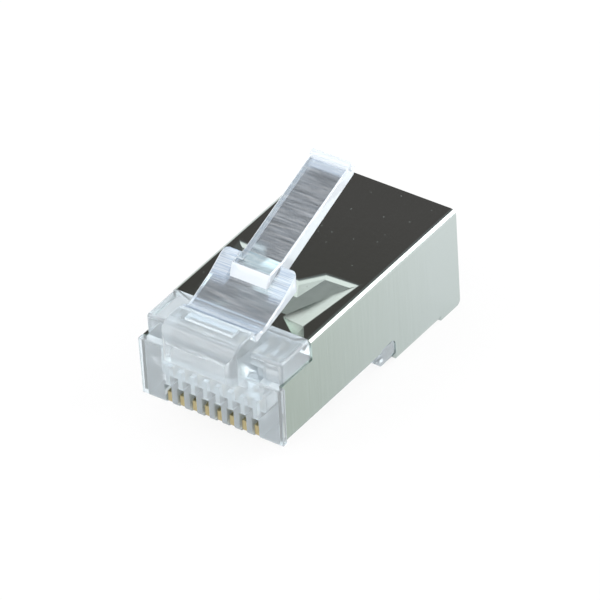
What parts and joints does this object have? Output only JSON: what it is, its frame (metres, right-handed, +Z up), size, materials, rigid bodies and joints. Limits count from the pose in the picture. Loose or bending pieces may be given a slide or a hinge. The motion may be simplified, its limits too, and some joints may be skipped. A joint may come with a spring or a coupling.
{
  "type": "shielded ethernet plug",
  "caption": "Shielded modular data plug with a clear nose, gold blade contacts, a folded metal shield with a pressed recess, a cable cavity at the rear and a springing latch lever on top.",
  "frame": {"origin": "middle of the plug's overall length and width, on the surface under the shield's folded flaps", "axes": "+Y from the nose to the cable end, +Z up with the latch on top, +X to the right seen from the nose"},
  "size_m": [0.0118, 0.0224, 0.014],
  "materials": {
    "clear_polycarbonate": "clear moulded polycarbonate, polished with a finely ground lever top",
    "nickel_plated_sheet": "bright nickel plate on folded brass sheet",
    "gold_plated_bronze": "thin gold plate on stamped bronze"
  },
  "bodies": {
    "plug": {"housing": "clear_polycarbonate", "shield": "nickel_plated_sheet", "contact_1": "gold_plated_bronze", "contact_2": "gold_plated_bronze", "contact_3": "gold_plated_bronze", "contact_4": "gold_plated_bronze", "contact_5": "gold_plated_bronze", "contact_6": "gold_plated_bronze", "contact_7": "gold_plated_bronze", "contact_8": "gold_plated_bronze"},
    "latch": {"latch_lever": "clear_polycarbonate"}
  },
  "joints": [
    {"name": "latch_flex", "type": "hinge", "parent": "plug", "child": "latch", "pos_m": [0, -0.00822, 0.00865], "axis": [1, 0, 0], "range_deg": [-18, 0], "stiffness_Nm_per_rad": 0.08}
  ]
}
